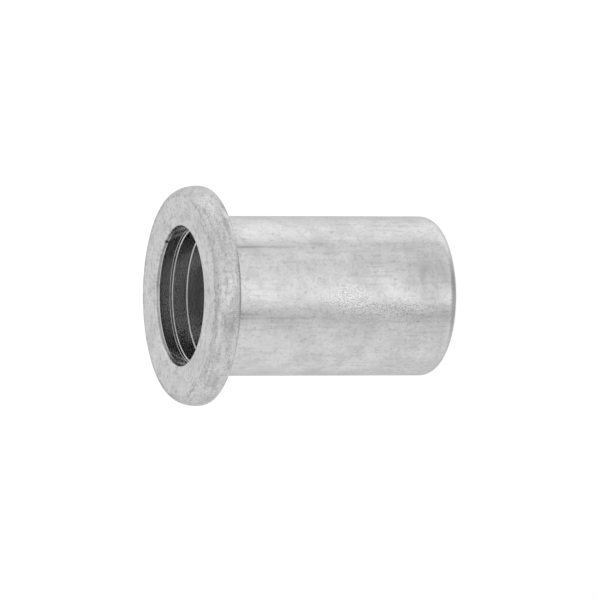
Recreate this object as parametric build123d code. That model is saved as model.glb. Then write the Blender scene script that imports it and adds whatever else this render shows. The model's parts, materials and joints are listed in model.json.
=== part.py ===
from build123d import *
from math import radians, tan
import os

# A blind rivet nut: one piece of aluminium, turned and cold formed. A tool pulls
# its thin wall into a fold behind a sheet, which leaves a threaded hole there.
# It stands on the far end of its body, flange up. Z is its axis, with Z = 0 at
# the far end, and all sizes are in millimetres.

# Overall, before it is set
overall_length = 22.0

# Flange, which stays on the outside of the sheet. Its edge is free while it is
# pressed flat, so it swells into a curve that is widest near the sheet.
flange_diameter = 17.9
flange_thickness = 2.1
flange_widest_height = 0.55  # above the side that bears on the sheet
flange_face_curve = 0.75  # off the radius, from the widest line to the face
flange_back_curve = 0.25  # off the radius, from there to the bearing side

# Body, plain and round, for a 13.1 hole in the sheet
body_diameter = 13.0
neck_fillet = 0.15  # inside corner under the flange
body_end_round = 1.05  # leads the body into the hole

# Bore through the flange and the thin wall that folds. It narrows in two fine
# steps, where the forming punch stopped.
mouth_bore_diameter = 11.2
mouth_curve = 0.25  # the mouth's rounded edge, on the radius
mouth_curve_depth = 0.5
punch_step = 0.1  # off the radius at each step, at 45 degrees
first_step_depth = 1.5  # from the flange face
second_step_depth = 2.75

# Thread M10 x 1.5 in the thick far end. The hole is plain, at the diameter of
# the thread's crests.
thread_diameter = 10.0
thread_pitch = 1.5
threaded_length = 12.0
shoulder_angle = 120.0  # cone that leads a screw from the bore to the thread
end_opening_diameter = 10.1  # 45 degree chamfer, just past the thread's roots

# An ISO metric thread takes this share of its pitch off the diameter
CORE_SHARE = 1.0825


def corner(section, x, z):
    """The corner of a half section at radius x and height z."""
    return section.vertices().sort_by_distance((x, z))[0]


def outside():
    """The body and its flange as a solid blank, with every edge rounded."""
    body = body_diameter / 2
    flange = flange_diameter / 2
    flange_back = overall_length - flange_thickness
    widest = flange_back + flange_widest_height
    with BuildPart() as blank:
        with BuildSketch(Plane.XZ) as section:
            with BuildLine():
                Polyline(
                    (flange - flange_face_curve, overall_length),
                    (0, overall_length),
                    (0, 0),
                    (body, 0),
                    (body, flange_back),
                    (flange - flange_back_curve, flange_back),
                )
                EllipticalCenterArc(
                    (flange - flange_back_curve, widest),
                    flange_back_curve,
                    flange_widest_height,
                    start_angle=270,
                    arc_size=90,
                )
                EllipticalCenterArc(
                    (flange - flange_face_curve, widest),
                    flange_face_curve,
                    overall_length - widest,
                    start_angle=0,
                    arc_size=90,
                )
            make_face()
            fillet(corner(section, body, 0), body_end_round)
            fillet(corner(section, body, flange_back), neck_fillet)
        revolve(axis=Axis.Z)
    return blank.part


def inside():
    """The hole right through it: stepped bore, shoulder cone and thread core."""
    mouth = mouth_bore_diameter / 2
    middle = mouth - punch_step
    grip = middle - punch_step
    core = (thread_diameter - CORE_SHARE * thread_pitch) / 2
    end_opening = end_opening_diameter / 2
    shoulder_height = (grip - core) / tan(radians(shoulder_angle / 2))
    first_step = overall_length - first_step_depth
    second_step = overall_length - second_step_depth
    with BuildPart() as hole:
        with BuildSketch(Plane.XZ):
            with BuildLine():
                EllipticalCenterArc(
                    (mouth + mouth_curve, overall_length - mouth_curve_depth),
                    mouth_curve,
                    mouth_curve_depth,
                    start_angle=90,
                    arc_size=90,
                )
                Polyline(
                    (mouth, overall_length - mouth_curve_depth),
                    (mouth, first_step),
                    (middle, first_step - punch_step),
                    (middle, second_step),
                    (grip, second_step - punch_step),
                    (grip, threaded_length + shoulder_height),
                    (core, threaded_length),
                    (core, end_opening - core),
                    (end_opening, 0),
                    (0, 0),
                    (0, overall_length),
                    (mouth + mouth_curve, overall_length),
                )
            make_face()
        revolve(axis=Axis.Z)
    return hole.part


rivet_nut = outside() - inside()
rivet_nut.label = "rivet_nut"

os.makedirs("parts", exist_ok=True)
export_step(rivet_nut, "parts/rivet_nut.step")
print(f"rivet_nut: {rivet_nut.volume:.1f} mm3, {rivet_nut.bounding_box()}")
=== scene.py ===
# %% [markdown]
# # A blind rivet nut
# This nut is one piece of aluminium. A tool pulls it tight from one side of a
# sheet, and its thin wall folds behind the sheet. This file dresses the plain
# solid of the nut: it gives it a real thread, a tumbled finish and soft light.
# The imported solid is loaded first, and everything is placed from it.

# %% Load the frame
import json
import math

import bpy
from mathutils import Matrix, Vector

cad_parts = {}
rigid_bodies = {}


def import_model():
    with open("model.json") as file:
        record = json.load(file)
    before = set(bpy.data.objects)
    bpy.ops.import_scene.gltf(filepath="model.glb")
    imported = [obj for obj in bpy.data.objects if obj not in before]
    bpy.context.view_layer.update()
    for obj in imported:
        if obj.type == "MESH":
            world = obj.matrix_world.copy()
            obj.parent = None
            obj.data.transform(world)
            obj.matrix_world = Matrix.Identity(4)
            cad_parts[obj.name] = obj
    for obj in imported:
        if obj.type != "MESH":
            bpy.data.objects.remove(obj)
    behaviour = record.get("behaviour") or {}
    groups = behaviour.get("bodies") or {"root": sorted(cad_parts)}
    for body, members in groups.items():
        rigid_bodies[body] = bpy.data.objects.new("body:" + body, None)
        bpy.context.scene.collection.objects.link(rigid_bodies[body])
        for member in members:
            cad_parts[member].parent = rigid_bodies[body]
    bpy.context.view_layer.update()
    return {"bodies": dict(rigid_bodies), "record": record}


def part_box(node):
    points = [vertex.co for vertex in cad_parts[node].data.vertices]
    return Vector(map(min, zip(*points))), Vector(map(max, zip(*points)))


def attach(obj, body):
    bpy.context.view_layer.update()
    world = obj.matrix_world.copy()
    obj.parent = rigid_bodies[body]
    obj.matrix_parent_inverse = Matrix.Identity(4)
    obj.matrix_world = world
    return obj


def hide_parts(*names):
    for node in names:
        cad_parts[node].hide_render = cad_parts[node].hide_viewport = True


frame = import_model()
NODE = "rivet_nut"
low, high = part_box(NODE)
print("solid from", tuple(low), "to", tuple(high))

# %% [markdown]
# ## Sizes
# Blender works in metres and a maker thinks in millimetres, so every size here
# is written in millimetres and turned once. The overall sizes come from the
# solid, and the round fits come from the mounts that the record states, so the
# dressed nut can't drift from the real one.

# %% Read the sizes
MM = 0.001
mounts = {m["name"]: m for m in frame["record"]["mounts"]}
length = high.z / MM
flange_radius = high.x / MM
body_radius = mounts["body"]["dims"]["r_mm"]
grip_radius = mounts["grip_bore"]["dims"]["r_mm"]
core_radius = mounts["thread"]["dims"]["r_mm"]
flange_back = mounts["flange_seat"]["pos_m"][2] / MM
print(f"length {length:.2f}, flange radius {flange_radius:.2f}")

# %% [markdown]
# ## The half section
# A turned part is drawn as one half of its section and then spun. The line runs
# from the far end up the outside, over the flange, and down the bore to the
# shoulder. Corners that are rounded on the nut get short arcs of points. Long
# straight runs get a point close to each arc, so that smooth shading stays flat
# where the metal is flat.


# %% Helpers for the line
def arc(centre, wide, tall, start, end, steps=10):
    """Points on a rounded corner, as (radius, height), angles in degrees."""
    turns = [math.radians(start + (end - start) * i / steps) for i in range(steps + 1)]
    return [
        (centre[0] + wide * math.cos(a), centre[1] + tall * math.sin(a)) for a in turns
    ]


def straight(start, end, near=0.05):
    """Two points just inside the ends of a straight run, to hold its shading."""
    share = min(near / math.dist(start, end), 0.3)
    return [
        tuple(a + (b - a) * k for a, b in zip(start, end)) for k in (share, 1 - share)
    ]


print("a quarter turn ends at", arc((0, 0), 1, 1, 0, 90)[-1])

# %% Far end and neck
end_opening_radius = 5.05
end_round = 1.05
neck_fillet = 0.15
end_corner = arc((body_radius - end_round, end_round), end_round, end_round, -90, 0)
neck = arc(
    (body_radius + neck_fillet, flange_back - neck_fillet),
    neck_fillet,
    neck_fillet,
    180,
    90,
    steps=5,
)
print("body from", end_corner[-1], "to", neck[0])

# %% Flange
# The edge is free while the flange is pressed flat, so it swells into a curve
# that is widest near the sheet
widest = flange_back + 0.55
back_curve, face_curve = 0.25, 0.75
back_edge = arc(
    (flange_radius - back_curve, widest), back_curve, widest - flange_back, -90, 0
)
face_edge = arc(
    (flange_radius - face_curve, widest), face_curve, length - widest, 0, 90, steps=16
)[1:]
print("flange widest at", back_edge[-1])

# %% Mouth
# The punch pulls the metal in with it, so the mouth leans in before it drops.
# LEAN says how far out and how deep the curve is, in mm.
punch_step = 0.1
middle_radius = grip_radius + punch_step
mouth_radius = middle_radius + punch_step
mouth_depth = 0.44
LEAN = [(0.25, 0.0), (0.20, 0.02), (0.15, 0.06), (0.115, 0.10), (0.09, 0.15)]
LEAN += [(0.06, 0.24), (0.03, 0.34), (0.005, 0.43), (0.0, mouth_depth)]
mouth = [(mouth_radius + out, length - down) for out, down in LEAN]
print("mouth radius", mouth_radius)

# %% Bore
# Two steps of the punch show in the bore as bright rings, and the upper one is
# double, because the punch was set down twice. Each step is a very short cone.
FIRST_STEP_DEPTH, SECOND_STEP_DEPTH = 1.53, 2.75
RING_GAP = 0.17
first_step = length - FIRST_STEP_DEPTH
second_step = length - SECOND_STEP_DEPTH
between_radius = mouth_radius - 0.02
upper_step = [
    (mouth_radius, first_step + RING_GAP + 0.02),
    (between_radius, first_step + RING_GAP),
    (between_radius, first_step),
    (middle_radius, first_step - 0.05),
]
lower_step = [(middle_radius, second_step), (grip_radius, second_step - 0.06)]
print("steps at", first_step, "and", second_step)

# %% Shoulder and whole line
threaded_length = 12.0
half_angle = math.radians(60)
shoulder_top = threaded_length + (grip_radius - core_radius) / math.tan(half_angle)
corners = [
    [(end_opening_radius, 0.0)],
    end_corner,
    neck,
    back_edge,
    face_edge,
    mouth,
    upper_step[:2],
    upper_step[2:],
    lower_step,
    [(grip_radius, shoulder_top)],
]
section = list(corners[0])
for corner in corners[1:]:
    section += straight(section[-1], corner[0]) + corner
print(len(section), "points, shoulder at", round(shoulder_top, 3))

# %% [markdown]
# ## One helper for nodes
# Shapes and finishes below are both built as node trees. This function adds any
# kind of node, sets its properties, and fills or links its inputs. A node given
# as an input stands for its first open output. Four kinds are used so often
# that they get short names.

# %% Node helper
MATH = "ShaderNodeMath"
VECTOR = "ShaderNodeVectorMath"
RANGE = "ShaderNodeMapRange"
MIX = "ShaderNodeMix"


def add(tree, kind, inputs=None, **settings):
    """A new node. inputs maps a socket's name or number to a value or a node."""
    made = tree.nodes.new(kind)
    for name, value in settings.items():
        setattr(made, name, value)
    for name, value in (inputs or {}).items():
        if isinstance(value, bpy.types.Node):
            value = next(out for out in value.outputs if out.enabled)
        if isinstance(value, bpy.types.NodeSocket):
            tree.links.new(value, made.inputs[name])
        else:
            made.inputs[name].default_value = value
    return made


def new_tree(name, sockets):
    """An empty Geometry Nodes tree with named inputs and one mesh output."""
    tree = bpy.data.node_groups.new(name, "GeometryNodeTree")
    for label, kind in sockets:
        tree.interface.new_socket(label, in_out="INPUT", socket_type=kind)
    tree.interface.new_socket("Mesh", in_out="OUTPUT", socket_type="NodeSocketGeometry")
    return tree, tree.nodes.new("NodeGroupInput").outputs


print("node helper ready")

# %% [markdown]
# ## The lathe
# Spinning a line by hand leaves an open seam. Here a flat grid is bent instead:
# each column of the grid is one copy of the half section, turned by its share
# of a full circle, and the last column is merged onto the first.


# %% A grid that knows its turn
def grid_turns(tree, columns, rows):
    """A grid mesh, with the row of each vertex and the angle of its column."""
    across = add(tree, MATH, {0: columns, 1: 1.0}, operation="ADD")
    grid = add(tree, "GeometryNodeMeshGrid", {"Vertices X": across, "Vertices Y": rows})
    index = add(tree, "GeometryNodeInputIndex")
    middle = add(tree, MATH, {0: index, 1: 0.5}, operation="ADD")
    share = add(tree, MATH, {0: middle, 1: rows}, operation="DIVIDE")
    column = add(tree, MATH, {0: share}, operation="FLOOR")
    before = add(tree, MATH, {0: column, 1: rows}, operation="MULTIPLY")
    row = add(tree, MATH, {0: index, 1: before}, operation="SUBTRACT")
    step = add(tree, MATH, {0: math.tau, 1: columns}, operation="DIVIDE")
    angle = add(tree, MATH, {0: column, 1: step}, operation="MULTIPLY")
    return grid, row, angle


print("grid helper ready")

# %% Build the lathe tree
lathe, given = new_tree(
    "lathe",
    [("Half Section", "NodeSocketGeometry"), ("Steps Around", "NodeSocketInt")],
)
line = given["Half Section"]
size = add(lathe, "GeometryNodeAttributeDomainSize", {0: line}, component="MESH")
grid, row, angle = grid_turns(
    lathe, given["Steps Around"], size.outputs["Point Count"]
)
sampled = add(
    lathe,
    "GeometryNodeSampleIndex",
    {"Geometry": line, "Value": add(lathe, "GeometryNodeInputPosition"), "Index": row},
    data_type="FLOAT_VECTOR",
)
turned = add(
    lathe,
    "ShaderNodeVectorRotate",
    {"Vector": sampled, "Angle": angle},
    rotation_type="Z_AXIS",
)
spun = add(lathe, "GeometryNodeSetPosition", {"Geometry": grid, "Position": turned})
add(lathe, "NodeGroupOutput", {"Mesh": spun})
print("lathe tree has", len(lathe.nodes), "nodes")

# %% [markdown]
# ## The thread
# A thread is a groove that climbs by one pitch in one turn. The grid's rows are
# slanted by the same climb, so each row lies along the groove and its corners
# stay sharp. The radius follows the ISO metric profile: a flat crest a quarter
# of the pitch wide, flanks at 60 degrees and a flat root an eighth wide. The
# chamfer at the far end and the shoulder cone simply win where they are wider.

# %% Start the thread tree
STEPS_PER_PITCH = 16
THREAD_SIZES = [
    "Pitch",
    "Core Radius",
    "Root Radius",
    "End Opening Radius",
    "Threaded Length",
    "Shoulder Top",
    "Bore Radius",
]
thread, given = new_tree(
    "metric thread",
    [("Steps Around", "NodeSocketInt")]
    + [(name, "NodeSocketFloat") for name in THREAD_SIZES],
)
pitches = add(
    thread, MATH, {0: given["Shoulder Top"], 1: given["Pitch"]}, operation="DIVIDE"
)
longer = add(thread, MATH, {0: pitches, 1: 1.2}, operation="ADD")
steps = add(thread, MATH, {0: longer, 1: STEPS_PER_PITCH}, operation="MULTIPLY")
rows = add(thread, MATH, {0: steps}, operation="CEIL")
grid, row, angle = grid_turns(thread, given["Steps Around"], rows)
print("inputs:", [socket.name for socket in given if socket.name])

# %% Climb
# Each row starts one pitch low and climbs with the turn, held at both ends
turns = add(thread, MATH, {0: angle, 1: math.tau}, operation="DIVIDE")
lowered = add(thread, MATH, {0: turns, 1: 1.0}, operation="SUBTRACT")
along = add(
    thread, MATH, {0: row, 1: 1 / STEPS_PER_PITCH, 2: lowered}, operation="MULTIPLY_ADD"
)
climbed = add(thread, MATH, {0: along, 1: given["Pitch"]}, operation="MULTIPLY")
above = add(thread, MATH, {0: climbed, 1: 0.0}, operation="MAXIMUM")
height = add(thread, MATH, {0: above, 1: given["Shoulder Top"]}, operation="MINIMUM")
print("thread tree has", len(thread.nodes), "nodes so far")

# %% Groove
CREST_HALF, ROOT_START = 1 / 8, 7 / 16
share = add(thread, MATH, {0: height, 1: given["Pitch"]}, operation="DIVIDE")
phase = add(thread, MATH, {0: share, 1: turns}, operation="SUBTRACT")
from_crest = add(thread, MATH, {0: phase, 1: 0.5}, operation="PINGPONG")
groove = add(
    thread,
    RANGE,
    {
        "Value": from_crest,
        "From Min": CREST_HALF,
        "From Max": ROOT_START,
        "To Min": given["Core Radius"],
        "To Max": given["Root Radius"],
    },
)
print("crest ends at", CREST_HALF, "and root starts at", ROOT_START, "of a pitch")

# %% Chamfer and shoulder
chamfer = add(
    thread, MATH, {0: given["End Opening Radius"], 1: height}, operation="SUBTRACT"
)
cone = add(
    thread,
    RANGE,
    {
        "Value": height,
        "From Min": given["Threaded Length"],
        "From Max": given["Shoulder Top"],
        "To Min": given["Core Radius"],
        "To Max": given["Bore Radius"],
    },
)
wider = add(thread, MATH, {0: chamfer, 1: cone}, operation="MAXIMUM")
radius = add(thread, MATH, {0: groove, 1: wider}, operation="MAXIMUM")
print("thread tree has", len(thread.nodes), "nodes so far")

# %% Wind the thread
spoke = add(thread, "ShaderNodeCombineXYZ", {"X": radius, "Z": height})
turned = add(
    thread,
    "ShaderNodeVectorRotate",
    {"Vector": spoke, "Angle": angle},
    rotation_type="Z_AXIS",
)
wound = add(thread, "GeometryNodeSetPosition", {"Geometry": grid, "Position": turned})
facing_in = add(thread, "GeometryNodeFlipFaces", {"Mesh": wound})
add(thread, "NodeGroupOutput", {"Mesh": facing_in})
print("thread tree has", len(thread.nodes), "nodes")

# %% [markdown]
# ## One closed piece
# The lathe and the thread meet at two rings, at the far end and at the shoulder.
# Both have the same number of steps round, so their points fall on each other
# and one merge closes the metal. Edges sharper than a set angle stay crisp, and
# the rest is smooth. The bore and the thread get finishes of their own, because
# a punch and a tap leave other surfaces than the tumbling drum does.

# %% Start the nut tree
nut, given = new_tree(
    "blind rivet nut",
    [("Half Section", "NodeSocketGeometry"), ("Steps Around", "NodeSocketInt")]
    + [(name, "NodeSocketFloat") for name in THREAD_SIZES]
    + [
        ("Weld Distance", "NodeSocketFloat"),
        ("Crisp Angle", "NodeSocketFloat"),
        ("Mouth Height", "NodeSocketFloat"),
        ("Outside Finish", "NodeSocketMaterial"),
        ("Bore Finish", "NodeSocketMaterial"),
        ("Thread Finish", "NodeSocketMaterial"),
    ],
)
shell = add(
    nut,
    "GeometryNodeGroup",
    {name: given[name] for name in ("Half Section", "Steps Around")},
    node_tree=lathe,
)
tapped = add(
    nut,
    "GeometryNodeGroup",
    {name: given[name] for name in ["Steps Around"] + THREAD_SIZES},
    node_tree=thread,
)
marked = add(
    nut,
    "GeometryNodeStoreNamedAttribute",
    {"Geometry": tapped, "Name": "tapped", "Value": True},
    data_type="BOOLEAN",
    domain="FACE",
)
print("nut tree has", len(nut.nodes), "nodes so far")

# %% Weld and shade
joined = add(nut, "GeometryNodeJoinGeometry", {0: marked})
nut.links.new(shell.outputs[0], joined.inputs[0])
welded = add(
    nut,
    "GeometryNodeMergeByDistance",
    {"Geometry": joined, "Distance": given["Weld Distance"]},
)
smooth = add(nut, "GeometryNodeSetShadeSmooth", {0: welded}, domain="FACE")
bend = add(nut, "GeometryNodeInputMeshEdgeAngle")
crisp = add(nut, MATH, {0: bend, 1: given["Crisp Angle"]}, operation="GREATER_THAN")
creased = add(
    nut,
    "GeometryNodeSetShadeSmooth",
    {"Geometry": smooth, "Selection": crisp, "Shade Smooth": False},
    domain="EDGE",
)
print("nut tree has", len(nut.nodes), "nodes so far")

# %% Find the bore
# A wall of the bore faces the axis, so its normal points back at it. The steps
# and the mouth lean, and keep the outside's finish: there the normal points up by
# more than LEANS_FROM, as a share of its length.
LEANS_FROM = 0.3
position = add(nut, "GeometryNodeInputPosition")
facing = add(nut, "GeometryNodeInputNormal")
rise = add(nut, "ShaderNodeSeparateXYZ", {0: facing}).outputs["Z"]
height = add(nut, "ShaderNodeSeparateXYZ", {0: position}).outputs["Z"]
level = add(nut, VECTOR, {0: position, 1: (1.0, 1.0, 0.0)}, operation="MULTIPLY")
outward = add(nut, VECTOR, {0: level, 1: facing}, operation="DOT_PRODUCT")
inward = add(nut, MATH, {0: outward, 1: 0.0}, operation="LESS_THAN")
steep = add(nut, MATH, {0: rise}, operation="ABSOLUTE")
upright = add(nut, MATH, {0: steep, 1: LEANS_FROM}, operation="LESS_THAN")
below = add(nut, MATH, {0: height, 1: given["Mouth Height"]}, operation="LESS_THAN")
wall = add(nut, MATH, {0: inward, 1: upright}, operation="MULTIPLY")
bore_faces = add(nut, MATH, {0: wall, 1: below}, operation="MULTIPLY")
print("nut tree has", len(nut.nodes), "nodes so far")

# %% Give the finishes
real = add(nut, "GeometryNodeRealizeInstances", {0: creased})
is_thread = add(
    nut, "GeometryNodeInputNamedAttribute", {"Name": "tapped"}, data_type="BOOLEAN"
)
finished = add(
    nut,
    "GeometryNodeSetMaterial",
    {"Geometry": real, "Material": given["Outside Finish"]},
)
for faces, finish in ((bore_faces, "Bore Finish"), (is_thread, "Thread Finish")):
    finished = add(
        nut,
        "GeometryNodeSetMaterial",
        {"Geometry": finished, "Selection": faces, "Material": given[finish]},
    )
add(nut, "NodeGroupOutput", {"Mesh": finished})
print("nut tree has", len(nut.nodes), "nodes")

# %% [markdown]
# ## Colours and patterns
# Colours are picked as sRGB hex values, which a shader needs as linear light.
# Patterns are drawn on Object coordinates, in metres, so one function turns a
# size in millimetres into the scale of a noise.


# %% Colour and scale helpers
def linear(code):
    """An sRGB hex colour as linear RGBA."""
    parts = [int(code[i : i + 2], 16) / 255 for i in (1, 3, 5)]
    return [
        p / 12.92 if p <= 0.04045 else ((p + 0.055) / 1.055) ** 2.4 for p in parts
    ] + [1.0]


def per_metre(size_mm):
    """The noise scale at which one feature is about size_mm across."""
    return 1.0 / (size_mm * MM)


print("white is", linear("#FFFFFF"), "and 1 mm is", per_metre(1.0))


# %% Start a finish
def metal_tree(name, bump_depth):
    """A metal's material, tree, Object coordinates, shader and bump node."""
    material = bpy.data.materials.new(name)
    material.use_nodes = True
    tree = material.node_tree
    tree.nodes.clear()
    place = add(tree, "ShaderNodeTexCoord").outputs["Object"]
    bump = add(tree, "ShaderNodeBump", {"Distance": bump_depth * MM, "Strength": 1.0})
    shader = add(
        tree, "ShaderNodeBsdfPrincipled", {"Metallic": 1.0, "Normal": bump}
    )
    add(tree, "ShaderNodeOutputMaterial", {"Surface": shader})
    return material, tree, place, shader, bump


print("every finish is a full metal")

# %% [markdown]
# ## Ways along the metal
# Marks on formed metal follow the work: they run along the body where it was
# drawn through a die, and round the flange where it was pressed and turned.
# Squeezing the coordinates in one direction stretches a noise the same way, so
# one plain noise can draw either kind of line.

# %% Coordinates for the marks
DRAW_STRETCH = 14.0
TURN_STRETCH = 5.0


def ways(tree, place):
    """Distance from the axis, height, and coordinates for long and round marks."""
    height = add(tree, "ShaderNodeSeparateXYZ", {0: place}).outputs["Z"]
    level = add(tree, VECTOR, {0: place, 1: (1.0, 1.0, 0.0)}, operation="MULTIPLY")
    from_axis = add(tree, VECTOR, {0: level}, operation="LENGTH")
    lengthwise = add(
        tree, "ShaderNodeMapping", {"Vector": place, "Scale": (1, 1, 1 / DRAW_STRETCH)}
    )
    spoke = add(tree, VECTOR, {0: level}, operation="NORMALIZE")
    arm = flange_radius * MM / TURN_STRETCH
    short = add(tree, VECTOR, {0: spoke, "Scale": arm}, operation="SCALE")
    across = add(tree, MATH, {0: from_axis, 1: height}, operation="SUBTRACT")
    lift = add(tree, "ShaderNodeCombineXYZ", {"Z": across})
    roundwise = add(tree, VECTOR, {0: short, 1: lift}, operation="ADD")
    return from_axis, height, lengthwise, roundwise


print("marks are", DRAW_STRETCH, "and", TURN_STRETCH, "times longer than wide")

# %% [markdown]
# ## Tumbled aluminium
# After forming, the nuts roll in a drum with small stones. That rounds the
# edges and leaves a satin skin: soft clouds where it is more or less rubbed,
# shallow dents, a fine grain, and dull spots that the stones didn't reach. Under
# it the lines from drawing and pressing still show faintly. An image of metal
# could be wrapped round the nut, but it would stretch on the flange and show a
# seam. Noises do neither, and each here starts from the size of the real mark.
# The finest grain and pores of the real skin are a few hundredths of a
# millimetre; here they are drawn at 0.13 and 0.1 mm, as coarse as they need to be
# to show.

# %% Start the outside finish
outside_finish, tree, place, shader, bump = metal_tree("tumbled aluminium", 0.001)
from_axis, height, lengthwise, roundwise = ways(tree, place)
fields = {}
for name, way, size_mm, detail in (
    ("clouds", place, 2.0, 3.0),
    ("dents", place, 0.75, 2.0),
    ("spots", place, 0.38, 2.0),
    ("grain", place, 0.13, 1.0),
    ("pores", place, 0.1, 2.0),
    ("patches", place, 3.2, 1.0),
    ("drawn", lengthwise, 0.28, 3.0),
    ("pressed", roundwise, 0.3, 3.0),
    ("broken", place, 0.3, 3.0),
    ("smudges", roundwise, 0.8, 3.0),
):
    fields[name] = add(
        tree,
        "ShaderNodeTexNoise",
        {
            "Vector": way,
            "Scale": per_metre(size_mm),
            "Detail": detail,
            "Roughness": 0.6,
        },
    )
print(len(fields), "noise fields")

# %% Skin
# Lighter near the flange, where the die gripped and rubbed the metal: heights in
# mm where that starts and is full, and how much it adds to the clouds
RUBBED_START, RUBBED_FULL, MOST_RUBBED = 8, 18, 0.05
rubbed = add(
    tree,
    RANGE,
    {0: height, 1: RUBBED_START * MM, 2: RUBBED_FULL * MM, 3: 0.0, 4: MOST_RUBBED},
)
lighter = add(tree, MATH, {0: fields["clouds"], 1: rubbed}, operation="ADD")
cloudy = add(
    tree, RANGE, {0: lighter, 1: 0.3, 2: 0.7}, interpolation_type="SMOOTHSTEP"
)
colour = add(
    tree,
    MIX,
    {0: cloudy, 6: linear("#D8D8D8"), 7: linear("#EBEBEB")},
    data_type="RGBA",
)
gloss = add(tree, RANGE, {0: lighter, 1: 0.3, 2: 0.7, 3: 0.27, 4: 0.2})
tree.links.new(gloss.outputs[0], shader.inputs["Roughness"])
print("skin from dull #D8D8D8 to bright #EBEBEB")

# %% Body and flange
# The finish turns from the body's to the flange's over a short way, in mm. The
# marks on the body grow a little weaker towards the flange, where it is rubbed.
BLEND = 2.6
on_flange = add(
    tree,
    RANGE,
    {0: height, 1: (flange_back - BLEND) * MM, 2: flange_back * MM},
    interpolation_type="SMOOTHSTEP",
)
lines = add(tree, MIX, {0: on_flange, 2: fields["drawn"], 3: fields["pressed"]})
along = add(tree, RANGE, {0: height, 1: 5 * MM, 2: 18 * MM, 3: 1.0, 4: 0.8})
print("finish turns to the flange's over", BLEND, "mm")

# %% Lines, spots and pores
# (noise, where it starts to show and is full, the most it shows, how many times
# that on the flange, tone)
for field, start, full, most, on_face, tone in (
    (lines, 0.5, 0.78, 0.4, 2.3, "#ABABAB"),
    (fields["spots"], 0.6, 0.76, 0.5, 0.9, "#9C9C9C"),
    (fields["broken"], 0.48, 0.7, 0.32, 1.6, "#A8A8A8"),
    (fields["pores"], 0.45, 0.7, 0.24, 1.4, "#A8A8A8"),
):
    shown = add(
        tree,
        RANGE,
        {0: field, 1: start, 2: full, 3: 0.0, 4: most},
        interpolation_type="SMOOTHSTEP",
    )
    stronger = add(tree, MIX, {0: on_flange, 2: along, 3: on_face})
    share = add(tree, MATH, {0: shown, 1: stronger}, operation="MULTIPLY")
    colour = add(tree, MIX, {0: share, 6: colour, 7: linear(tone)}, data_type="RGBA")
print("dull lines, spots and pores laid over the skin")

# %% [markdown]
# ## Marks in one place
# Most of the finish is the same all over, but forming and tumbling also leave
# marks in one place each: patches of orange peel where the metal was worked
# most, two of them with painted highlights on their grain, and a dull patch
# where nuts rubbed. They could be painted on a map by hand. Here a soft ball
# round a point lets one of the noises show through, so a patch is moved or
# resized by one line.


# %% A place on the nut
def close_to(tree, place, centre, reach):
    """1 at a place on the nut, fading to 0 at its reach: (across, deep, high) in mm."""
    squeeze = tuple(1 / (r * MM) for r in reach)
    shift = tuple(-c / r for c, r in zip(centre, reach))
    moved = add(
        tree,
        "ShaderNodeMapping",
        {"Vector": place, "Location": shift, "Scale": squeeze},
    )
    off = add(tree, VECTOR, {0: moved}, operation="LENGTH")
    return add(
        tree,
        RANGE,
        {0: off, 1: 0.2, 2: 1.0, 3: 1.0, 4: 0.0},
        interpolation_type="SMOOTHSTEP",
    )


print("place helper ready")

# %% Orange peel
# Where the metal was worked most its grain stands up, like orange peel. The
# white tones paint highlights on its grain, and the grey tone makes its grain
# darker: centre and reach in mm (across, deep, high), tone, where the grain
# starts and is full, and the most it shows.
PEELS_WITH_PAINTED_HIGHLIGHTS = [
    ((0.0, -6.5, 9.8), (1.4, 3.0, 3.0), "#FFFFFF", 0.46, 0.6, 0.9),
    ((-1.3, -6.4, 6.4), (1.4, 3.0, 6.0), "#808080", 0.48, 0.36, 0.42),
    ((6.5, -5.9, 21.2), (1.6, 1.8, 1.4), "#FAFAFA", 0.52, 0.66, 0.6),
]
peel = 0.0
for centre, reach, tone, start, full, most in PEELS_WITH_PAINTED_HIGHLIGHTS:
    near = close_to(tree, place, centre, reach)
    shown = add(tree, RANGE, {0: fields["grain"], 1: start, 2: full, 3: 0.0, 4: most})
    share = add(tree, MATH, {0: near, 1: shown}, operation="MULTIPLY")
    # Where the tone is white, this paints highlights on the grain
    colour = add(tree, MIX, {0: share, 6: colour, 7: linear(tone)}, data_type="RGBA")
    peel = add(tree, MATH, {0: near, 1: peel}, operation="MAXIMUM")
print(len(PEELS_WITH_PAINTED_HIGHLIGHTS), "patches of orange peel")

# %% Rubbed patch
# Nuts rub on each other in the drum, and this one has a duller, uneven patch
# near its far end
dulled = close_to(tree, place, centre=(1.4, -6.4, 2.4), reach=(2.6, 3.0, 3.6))
uneven = add(tree, RANGE, {0: fields["smudges"], 1: 0.38, 2: 0.62, 3: 0.3, 4: 0.55})
share = add(tree, MATH, {0: dulled, 1: uneven}, operation="MULTIPLY")
colour = add(tree, MIX, {0: share, 6: colour, 7: linear("#A0A0A0")}, data_type="RGBA")
print("one rubbed patch")

# %% [markdown]
# ## Edge, mouth and rim
# The corner of the face wears first, the mouth has a darker ring just above
# the bore, and the rim is smudged and pitted because the nut rolls on it. All
# three are rings round the axis, so each is found by its height or by its
# distance from the axis. A noise breaks up the two that wear, because wear is
# never even.

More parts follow.
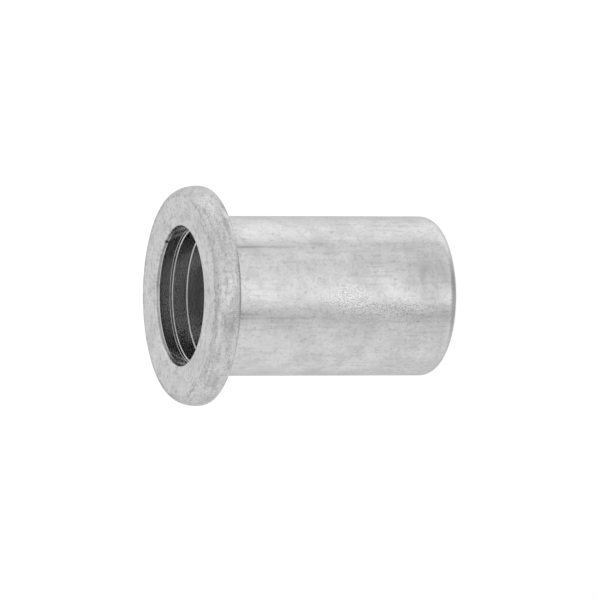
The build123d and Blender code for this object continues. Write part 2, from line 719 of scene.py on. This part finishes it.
# %% Worn edge
# A dull line where the flat face turns into the edge, broken into grains: how
# far from the corner it is full and gone in mm, and the most it shows
WORN_FULL, WORN_GONE, MOST_WORN = 0.02, 0.24, 0.5
edge_radius = flange_radius - face_curve
off = add(tree, MATH, {0: from_axis, 1: edge_radius * MM}, operation="SUBTRACT")
away = add(tree, MATH, {0: off}, operation="ABSOLUTE")
on_edge = add(
    tree,
    RANGE,
    {0: away, 1: WORN_FULL * MM, 2: WORN_GONE * MM, 3: MOST_WORN, 4: 0.0},
    interpolation_type="SMOOTHSTEP",
)
near_face = add(tree, RANGE, {0: height, 1: (length - 0.5) * MM, 2: length * MM})
grains = add(tree, RANGE, {0: fields["broken"], 1: 0.42, 2: 0.6, 3: 0.1, 4: 1.0})
worn = add(tree, MATH, {0: near_face, 1: grains}, operation="MULTIPLY")
share = add(tree, MATH, {0: on_edge, 1: worn}, operation="MULTIPLY")
colour = add(tree, MIX, {0: share, 6: colour, 7: linear("#8E8E8E")}, data_type="RGBA")
print("face ends at radius", edge_radius)

# %% Dark lip
# A ring in the mouth, just above the bore, is darker: how deep its ring lies,
# how far from there it is full and gone in mm, and the most it shows. The mouth
# has one small nick too: (across, deep, high) and size in mm.
LIP_DEPTH, LIP_FULL, LIP_GONE, MOST_DARKENED = 0.3, 0.03, 0.18, 0.6
NICK, NICK_SIZE = (4.42, 3.52, 21.68), 0.26
off = add(tree, MATH, {0: height, 1: (length - LIP_DEPTH) * MM}, operation="SUBTRACT")
away = add(tree, MATH, {0: off}, operation="ABSOLUTE")
on_lip = add(
    tree,
    RANGE,
    {0: away, 1: LIP_FULL * MM, 2: LIP_GONE * MM, 3: MOST_DARKENED, 4: 0.0},
    interpolation_type="SMOOTHSTEP",
)
inside = add(tree, MATH, {0: from_axis, 1: body_radius * MM}, operation="LESS_THAN")
darker_lip = add(tree, MATH, {0: on_lip, 1: inside}, operation="MULTIPLY")
nick_at = tuple(v * MM for v in NICK)
from_nick = add(tree, VECTOR, {0: place, 1: nick_at}, operation="DISTANCE")
nicked = add(
    tree,
    RANGE,
    {0: from_nick, 1: NICK_SIZE * 0.4 * MM, 2: NICK_SIZE * MM, 3: 1.0, 4: 0.0},
)
for share, tone in ((darker_lip, "#7A7A7A"), (nicked, "#404040")):
    colour = add(tree, MIX, {0: share, 6: colour, 7: linear(tone)}, data_type="RGBA")
print("lip dull at a depth of", LIP_DEPTH, "mm")

# %% Smudges on the rim
# They start just inside the corner of the face and are full just outside it, in
# mm from the corner
RIM_START, RIM_FULL = -0.1, 0.15
on_rim = add(
    tree,
    RANGE,
    {
        0: from_axis,
        1: (edge_radius + RIM_START) * MM,
        2: (edge_radius + RIM_FULL) * MM,
        3: 0.0,
        4: 1.0,
    },
)
smudged = add(
    tree,
    RANGE,
    {0: fields["smudges"], 1: 0.47, 2: 0.68, 3: 0.04, 4: 0.36},
    interpolation_type="SMOOTHSTEP",
)
pitted = add(tree, RANGE, {0: fields["pores"], 1: 0.5, 2: 0.7, 3: 0.0, 4: 0.36})
marked = add(tree, MATH, {0: smudged, 1: pitted}, operation="ADD")
share = add(tree, MATH, {0: on_rim, 1: marked}, operation="MULTIPLY")
colour = add(tree, MIX, {0: share, 6: colour, 7: linear("#989898")}, data_type="RGBA")
print("smudges and pits on the rim")

# %% [markdown]
# ## Painted reflection lines
# Dark lines run along the body where, seen from the camera, it mirrors dark
# gaps between the folds of the light tent. They are painted reflections: each
# is drawn as a darker tone, where a plane through the axis meets the body, and
# is broken up by the noise of the drawing lines. It could be cut into the mesh,
# but the real line is hardly deeper than the grain, and a cut so thin needs
# very many faces.

# %% Painted reflection lines
# They are darkest under the flange and fade out below it: (degrees round from
# the front, height where it is gone in mm, width in mm)
DARKEST_HEIGHT = 19.5
PAINTED_REFLECTION_LINES = [(37.5, 12.0, 0.2), (-13.3, 16.0, 0.12), (-16.2, 12.5, 0.14)]
reflection_lines = 0.0
for degrees, gone, width in PAINTED_REFLECTION_LINES:
    turn = (0.0, 0.0, math.radians(-degrees))
    turned = add(tree, "ShaderNodeMapping", {"Vector": place, "Rotation": turn})
    seen = add(tree, "ShaderNodeSeparateXYZ", {0: turned}).outputs
    aside = add(tree, MATH, {0: seen["X"]}, operation="ABSOLUTE")
    near = add(
        tree,
        RANGE,
        {0: aside, 1: 0.02 * MM, 2: width * MM, 3: 1.0, 4: 0.0},
        interpolation_type="SMOOTHSTEP",
    )
    front = add(tree, MATH, {0: seen["Y"], 1: 0.0}, operation="LESS_THAN")
    fading = add(tree, RANGE, {0: height, 1: gone * MM, 2: DARKEST_HEIGHT * MM})
    here = add(tree, MATH, {0: near, 1: front}, operation="MULTIPLY")
    faded = add(tree, MATH, {0: here, 1: fading}, operation="MULTIPLY")
    reflection_lines = add(tree, MATH, {0: faded, 1: reflection_lines}, operation="MAXIMUM")
print(len(PAINTED_REFLECTION_LINES), "die lines")

# %% Draw the painted reflection lines
ragged = add(tree, RANGE, {0: fields["drawn"], 1: 0.35, 2: 0.6, 3: 0.1, 4: 0.5})
on_body = add(tree, MATH, {0: height, 1: flange_back * MM}, operation="LESS_THAN")
kept = add(tree, MATH, {0: reflection_lines, 1: on_body}, operation="MULTIPLY")
share = add(tree, MATH, {0: kept, 1: ragged}, operation="MULTIPLY")
# The painted reflections go into the colour here
colour = add(tree, MIX, {0: share, 6: colour, 7: linear("#8A8A8A")}, data_type="RGBA")
tree.links.new(colour.outputs[2], shader.inputs["Base Color"])
print("colour layers end at", colour.name)

# %% [markdown]
# ## Relief
# Grain, dents and lines also stand up a little. They are a few thousandths to a
# few hundredths of a millimetre high, which is too fine for the mesh, so a bump
# tilts the light on them instead. It is one sum of the same noises, so colour
# and relief stay in step.

# %% Heights of the marks
# In thousandths of a millimetre: the grain is highest in patches and in the peel
FINE_GRAIN, COARSE_GRAIN, PEEL_GRAIN = 6.0, 14.0, 42.0
BODY_DENTS, FLANGE_DENTS = 6.0, 10.0
LINE_DEPTH = 1.2
coarse = add(
    tree,
    RANGE,
    {0: fields["patches"], 1: 0.4, 2: 0.6, 3: FINE_GRAIN, 4: COARSE_GRAIN},
)
height_of_grain = add(
    tree, MATH, {0: peel, 1: PEEL_GRAIN, 2: coarse}, operation="MULTIPLY_ADD"
)
grain = add(tree, MATH, {0: fields["grain"], 1: height_of_grain}, operation="MULTIPLY")
deep = add(tree, MIX, {0: on_flange, 2: BODY_DENTS, 3: FLANGE_DENTS})
dented = add(
    tree, MATH, {0: fields["dents"], 1: deep, 2: grain}, operation="MULTIPLY_ADD"
)
relief = add(tree, MATH, {0: lines, 1: LINE_DEPTH, 2: dented}, operation="MULTIPLY_ADD")
tree.links.new(relief.outputs[0], bump.inputs["Height"])
print(outside_finish.name, "has", len(tree.nodes), "nodes")

# %% [markdown]
# ## Bore and thread
# The punch leaves the bore smooth but dull with dry lubricant, and its steps
# are burnished bright. The tap cuts the thread clean, with a fine tear of its
# own. Both sit deep, so they look dark for want of light, not for their colour.
# The two differ only in their sizes and tones, so one loop makes both.

# %% Make the bore and thread finishes
# (name, size of the haze and of the marks in mm, depth of the marks in mm, dull
# and bright colour, roughness)
inner = {}
for name, haze_mm, mark_mm, deep, dull, bright, rough in (
    ("cut thread", 0.6, 0.12, 0.0015, "#C2C2C2", "#D2D2D2", 0.26),
    ("punched bore", 0.7, 0.4, 0.00004, "#DCDCDC", "#E8E8E8", 0.19),
):
    material, tree, place, shader, bump = metal_tree(name, deep)
    roundwise = ways(tree, place)[3]
    haze = add(
        tree,
        "ShaderNodeTexNoise",
        {"Vector": place, "Scale": per_metre(haze_mm), "Detail": 3.0},
    )
    marks = add(
        tree, "ShaderNodeTexNoise", {"Vector": roundwise, "Scale": per_metre(mark_mm)}
    )
    hazy = add(tree, RANGE, {0: haze, 1: 0.35, 2: 0.65})
    colour = add(
        tree, MIX, {0: hazy, 6: linear(dull), 7: linear(bright)}, data_type="RGBA"
    )
    tree.links.new(colour.outputs[2], shader.inputs["Base Color"])
    tree.links.new(marks.outputs[0], bump.inputs["Height"])
    shader.inputs["Roughness"].default_value = rough
    inner[name] = material
print("inner finishes:", list(inner))

# %% Darker at the mouth
# The first wall of the bore is darker, darkest at the mouth: the depths in mm
# where it is gone and full, and the most it shows. The loop ended with the bore,
# so its nodes are still at hand, and this layer goes on top.
MOUTH_DARK_GONE, MOUTH_DARK_FULL, MOST_MOUTH_DARK = 0.9, 0.5, 0.4
height = add(tree, "ShaderNodeSeparateXYZ", {0: place}).outputs["Z"]
darker_at_mouth = add(
    tree,
    RANGE,
    {
        0: height,
        1: (length - MOUTH_DARK_GONE) * MM,
        2: (length - MOUTH_DARK_FULL) * MM,
        3: 0.0,
        4: MOST_MOUTH_DARK,
    },
    interpolation_type="SMOOTHSTEP",
)
colour = add(tree, MIX, {0: darker_at_mouth, 6: colour, 7: linear("#707070")}, data_type="RGBA")
tree.links.new(colour.outputs[2], shader.inputs["Base Color"])
print("bore finish has", len(tree.nodes), "nodes")

# %% [markdown]
# ## Make the nut
# A line mesh holds the half section, and the tree turns it into the nut. The
# result is kept as a plain mesh, and it stands in for the solid.

# %% Set the tree's inputs
# An M10 coarse thread, in mm
PITCH = 1.5
THREAD_RADIUS = 5.0
STEPS_AROUND = 192
profile_mesh = bpy.data.meshes.new("half section")
profile_mesh.from_pydata([(r * MM, 0.0, z * MM) for r, z in section], [], [])
maker = bpy.data.objects.new("half section", profile_mesh)
bpy.context.scene.collection.objects.link(maker)
modifier = maker.modifiers.new("nut", "NODES")
modifier.node_group = nut
sizes = {
    "Steps Around": STEPS_AROUND,
    "Pitch": PITCH * MM,
    "Core Radius": core_radius * MM,
    "Root Radius": THREAD_RADIUS * MM,
    "End Opening Radius": end_opening_radius * MM,
    "Threaded Length": threaded_length * MM,
    "Shoulder Top": shoulder_top * MM,
    "Bore Radius": grip_radius * MM,
    "Weld Distance": 0.001 * MM,
    "Crisp Angle": math.radians(28),
    "Mouth Height": (length - mouth_depth) * MM,
    "Outside Finish": outside_finish,
    "Bore Finish": inner["punched bore"],
    "Thread Finish": inner["cut thread"],
}
for item in nut.interface.items_tree:
    if item.in_out == "INPUT" and item.name in sizes:
        modifier[item.identifier] = sizes[item.name]
print(len(sizes), "inputs set")

# %% Run the tree
evaluated = maker.evaluated_get(bpy.context.evaluated_depsgraph_get())
mesh = bpy.data.meshes.new_from_object(evaluated)
bpy.data.objects.remove(maker)
mesh.name = "rivet nut, dressed"
mesh.attributes.remove(mesh.attributes["tapped"])
while None in list(mesh.materials):
    mesh.materials.pop(index=list(mesh.materials).index(None))
piece = bpy.data.objects.new("nut", mesh)
bpy.context.scene.collection.objects.link(piece)
print(len(mesh.vertices), "vertices,", [m.name for m in mesh.materials])

# %% Check the mesh
import bmesh

checked = bmesh.new()
checked.from_mesh(mesh)
open_edges = sum(not e.is_manifold for e in checked.edges)
triangles = sum(len(f.verts) - 2 for f in checked.faces)
volume = checked.calc_volume(signed=True) / MM**3
checked.free()
print(f"{open_edges} open edges, {triangles} triangles, {volume:.1f} mm3 of metal")

# %% Put it on the solid
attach(piece, next(iter(frame["bodies"])))
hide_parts(NODE)

# %% [markdown]
# ## Floor
# The floor is plain and pale. For the camera it is white with a trace of the
# nut's own soft shadow. Reflections pass through it to the light tent, as they
# do through a glass table. Right under the nut fewer pass, so that its bore gets
# a little light from the table and isn't black.

# %% Lay the floor
FLOOR_RADIUS = 400.0
floor_mesh = bpy.data.meshes.new("floor")
ring = bmesh.new()
bmesh.ops.create_circle(ring, cap_ends=True, segments=96, radius=FLOOR_RADIUS * MM)
ring.to_mesh(floor_mesh)
ring.free()
floor = bpy.data.objects.new("floor", floor_mesh)
bpy.context.scene.collection.objects.link(floor)
print("floor radius", FLOOR_RADIUS, "mm")

# %% Paint the floor
UNDER_NUT, PASSING_UNDER_NUT = 5.3, 0.4  # radius in mm, share of reflections
GLOW, GLOW_SHARE = 1.14, 0.8  # together with the lit floor they come to white
floor_finish = bpy.data.materials.new("white table")
floor_finish.use_nodes = True
tree = floor_finish.node_tree
tree.nodes.clear()
rays = add(tree, "ShaderNodeLightPath").outputs
place = add(tree, "ShaderNodeTexCoord").outputs["Object"]
from_nut = add(tree, VECTOR, {0: place}, operation="LENGTH")
beyond = add(
    tree,
    RANGE,
    {
        0: from_nut,
        1: UNDER_NUT * MM,
        2: (UNDER_NUT + 0.01) * MM,
        3: PASSING_UNDER_NUT,
        4: 1.0,
    },
)
matt = add(tree, "ShaderNodeBsdfDiffuse", {"Color": linear("#F4F4F4")})
glow = add(tree, "ShaderNodeEmission", {"Strength": GLOW})
clear = add(tree, "ShaderNodeBsdfTransparent")
bright = add(
    tree, MATH, {0: rays["Is Camera Ray"], 1: GLOW_SHARE}, operation="MULTIPLY"
)
lit = add(tree, "ShaderNodeMixShader", {0: bright, 1: matt, 2: glow})
passing = add(tree, MATH, {0: rays["Is Glossy Ray"], 1: beyond}, operation="MULTIPLY")
table = add(tree, "ShaderNodeMixShader", {0: passing, 1: lit, 2: clear})
add(tree, "ShaderNodeOutputMaterial", {"Surface": table})
floor_mesh.materials.append(floor_finish)
print(floor_finish.name, "has", len(tree.nodes), "nodes")

# %% [markdown]
# ## Light tent
# Shiny metal looks like what stands round it. In a studio it is put in a tent of
# white cloth, and the folds and the gaps of the tent draw soft stripes along the
# metal. Large lamps could draw such stripes too, but each would have to be placed
# and sized for its stripe. Here the world is the tent: its tone changes with the
# direction round the upright axis, and again towards the ceiling and below the
# table. The camera itself sees white paper.

# %% Hang the folds
# (degrees round from the camera's side, tone)
FOLDS = [
    (-180, 0.58),
    (-160, 0.64),
    (-146, 0.69),
    (-125, 0.80),
    (-80, 0.83),
    (-54, 0.79),
    (-42, 0.73),
    (-31, 0.58),
    (-20, 0.64),
    (-8, 0.98),
    (5, 1.0),
    (16, 0.94),
    (28, 0.87),
    (42, 0.82),
    (66, 0.82),
    (76, 0.67),
    (83, 0.73),
    (94, 0.97),
    (114, 0.98),
    (128, 0.90),
    (142, 0.78),
    (160, 0.68),
    (180, 0.58),
]
world = bpy.data.worlds.new("light tent")
bpy.context.scene.world = world
world.use_nodes = True
world.cycles.sampling_method = "NONE"
tree = world.node_tree
tree.nodes.clear()
direction = add(tree, "ShaderNodeTexCoord").outputs["Generated"]
part = add(tree, "ShaderNodeSeparateXYZ", {0: direction}).outputs
toward = add(tree, MATH, {0: part["Y"], 1: -1.0}, operation="MULTIPLY")
turn = add(tree, MATH, {0: part["X"], 1: toward}, operation="ARCTAN2")
share = add(tree, RANGE, {0: turn, 1: -math.pi, 2: math.pi})
ramp = add(tree, "ShaderNodeValToRGB", {0: share})
stops = ramp.color_ramp.elements
while len(stops) < len(FOLDS):
    stops.new(0.5)
for stop, (degrees, tone) in zip(stops, FOLDS):
    stop.position = (degrees + 180) / 360
for stop, (degrees, tone) in zip(stops, FOLDS):
    stop.color = (tone, tone, tone, 1.0)
print(len(FOLDS), "folds in the tent")

# %% Close the tent
# (where it starts and where it is full, as the sine of the angle above the table,
# and tone)
UPPER_WALL = (0.0, 0.6, 0.86)
CEILING = (0.6, 0.9, 0.68)
UNDER_TABLE = (-0.8, -0.95, 0.48)
tent = ramp
for start, full, tone in (UPPER_WALL, CEILING, UNDER_TABLE):
    share = add(
        tree,
        RANGE,
        {0: part["Z"], 1: start, 2: full},
        interpolation_type="SMOOTHSTEP",
    )
    tent = add(
        tree, MIX, {0: share, 6: tent, 7: (tone, tone, tone, 1.0)}, data_type="RGBA"
    )
cloth = add(tree, "ShaderNodeBackground", {"Color": tent})
paper = add(tree, "ShaderNodeBackground", {"Color": linear("#FFFFFF")})
rays = add(tree, "ShaderNodeLightPath").outputs
seen = add(tree, "ShaderNodeMixShader", {0: rays["Is Camera Ray"], 1: cloth, 2: paper})
add(tree, "ShaderNodeOutputWorld", {"Surface": seen})
print("upper wall", UPPER_WALL, "ceiling", CEILING, "under table", UNDER_TABLE)

# %% [markdown]
# ## Camera
# The camera lies on its side, so the standing nut points to the left. It looks
# down on the flange by a small tilt, from far away with a long lens, which keeps
# the two sides of the body nearly parallel.

# %% Set the camera
from mathutils import Matrix, Vector

TILT = math.radians(21.28)
DISTANCE = 977.4
LENS = 720.0
OFF_CENTRE = (0.404, 0.336)  # mm the nut sits right of and above the middle
right = Vector((0.0, -math.sin(TILT), -math.cos(TILT)))
up = Vector((1.0, 0.0, 0.0))
back = Vector((0.0, -math.cos(TILT), math.sin(TILT)))
middle = Vector((0.0, 0.0, length / 2))
aim = middle - right * OFF_CENTRE[0] - up * OFF_CENTRE[1]
camera_data = bpy.data.cameras.new("camera")
camera_data.lens = LENS
camera_data.sensor_width = 36.0
camera = bpy.data.objects.new("camera", camera_data)
turn = Matrix((right, up, back)).transposed().to_4x4()
camera.matrix_world = Matrix.Translation((aim + back * DISTANCE) * MM) @ turn
bpy.context.scene.collection.objects.link(camera)
bpy.context.scene.camera = camera
bpy.context.scene.view_settings.view_transform = "Standard"
print("camera at", [round(v, 4) for v in camera.location])
